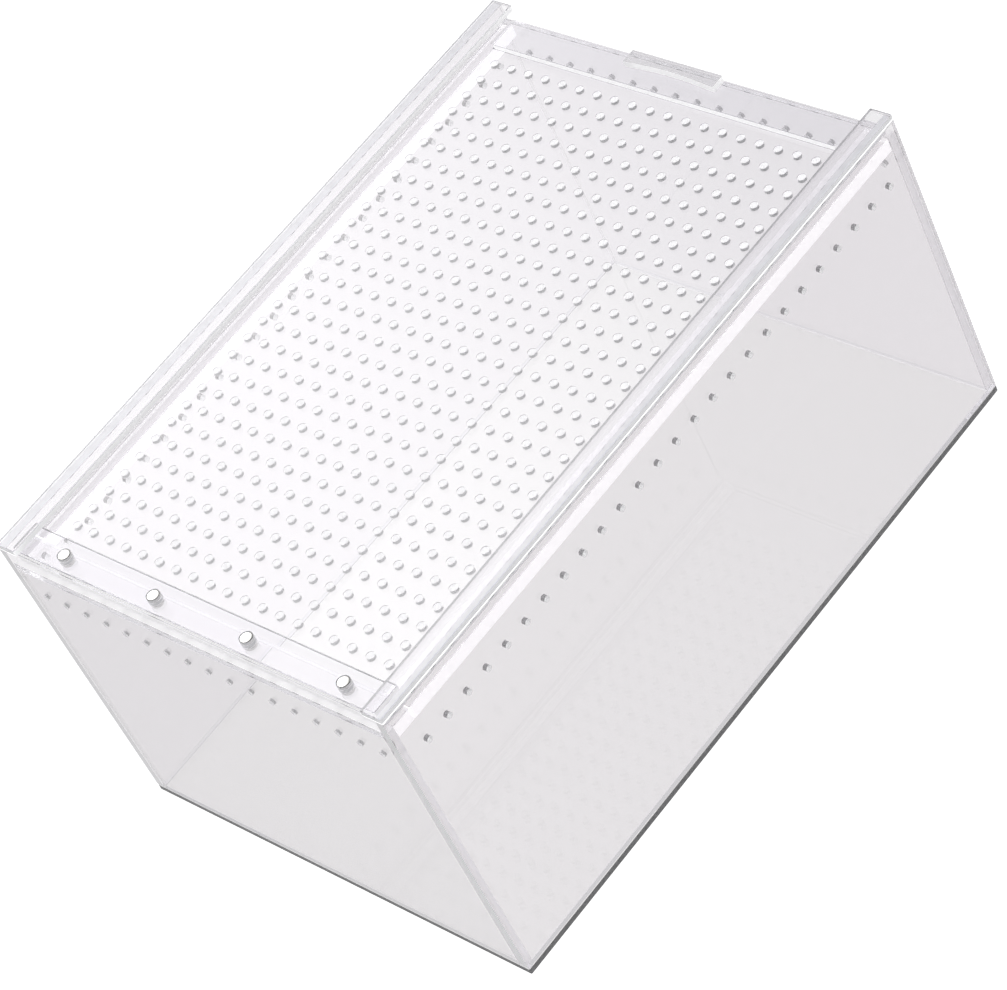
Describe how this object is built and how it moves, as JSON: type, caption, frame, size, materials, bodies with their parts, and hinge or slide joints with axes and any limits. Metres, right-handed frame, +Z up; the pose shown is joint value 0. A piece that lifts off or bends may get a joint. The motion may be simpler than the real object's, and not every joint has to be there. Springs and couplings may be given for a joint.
{
  "type": "acrylic reptile terrarium",
  "caption": "Clear acrylic terrarium of glued flat sheets, with air holes in its walls and a perforated lid that slides out along side rails and is held shut by disc magnets.",
  "frame": {"origin": "middle of the base plate's underside, which is also the bottom centre of the whole box", "axes": "+Z up, +Y along the long side towards the pull end, where the lid slides out, +X towards the right wall"},
  "size_m": [0.2, 0.3, 0.15],
  "materials": {
    "wall_acrylic": "clear cast acrylic sheet, polished faces",
    "base_acrylic": "clear cast acrylic sheet, polished faces and sawn edges that look dark",
    "lid_acrylic": "clear cast acrylic sheet, laser-cut holes with glossy walls",
    "magnet_nickel": "bright nickel plating"
  },
  "bodies": {
    "tank": {"base_plate": "base_acrylic", "left_wall": "wall_acrylic", "right_wall": "wall_acrylic", "magnet_end_wall": "wall_acrylic", "pull_end_wall": "wall_acrylic", "left_ledge": "wall_acrylic", "right_ledge": "wall_acrylic", "magnet_ledge": "wall_acrylic", "left_rail_cap": "wall_acrylic", "right_rail_cap": "wall_acrylic", "ledge_magnet_1": "magnet_nickel", "ledge_magnet_2": "magnet_nickel", "ledge_magnet_3": "magnet_nickel", "ledge_magnet_4": "magnet_nickel"},
    "lid": {"lid_panel": "lid_acrylic", "lid_magnet_bar": "lid_acrylic", "lid_pull_bar": "lid_acrylic", "pull_tab": "lid_acrylic", "lid_magnet_1": "magnet_nickel", "lid_magnet_2": "magnet_nickel", "lid_magnet_3": "magnet_nickel", "lid_magnet_4": "magnet_nickel"}
  },
  "joints": [
    {"name": "lid_slide", "type": "slide", "parent": "tank", "child": "lid", "axis": [0, 1, 0], "range_m": [0, 0.3]}
  ]
}
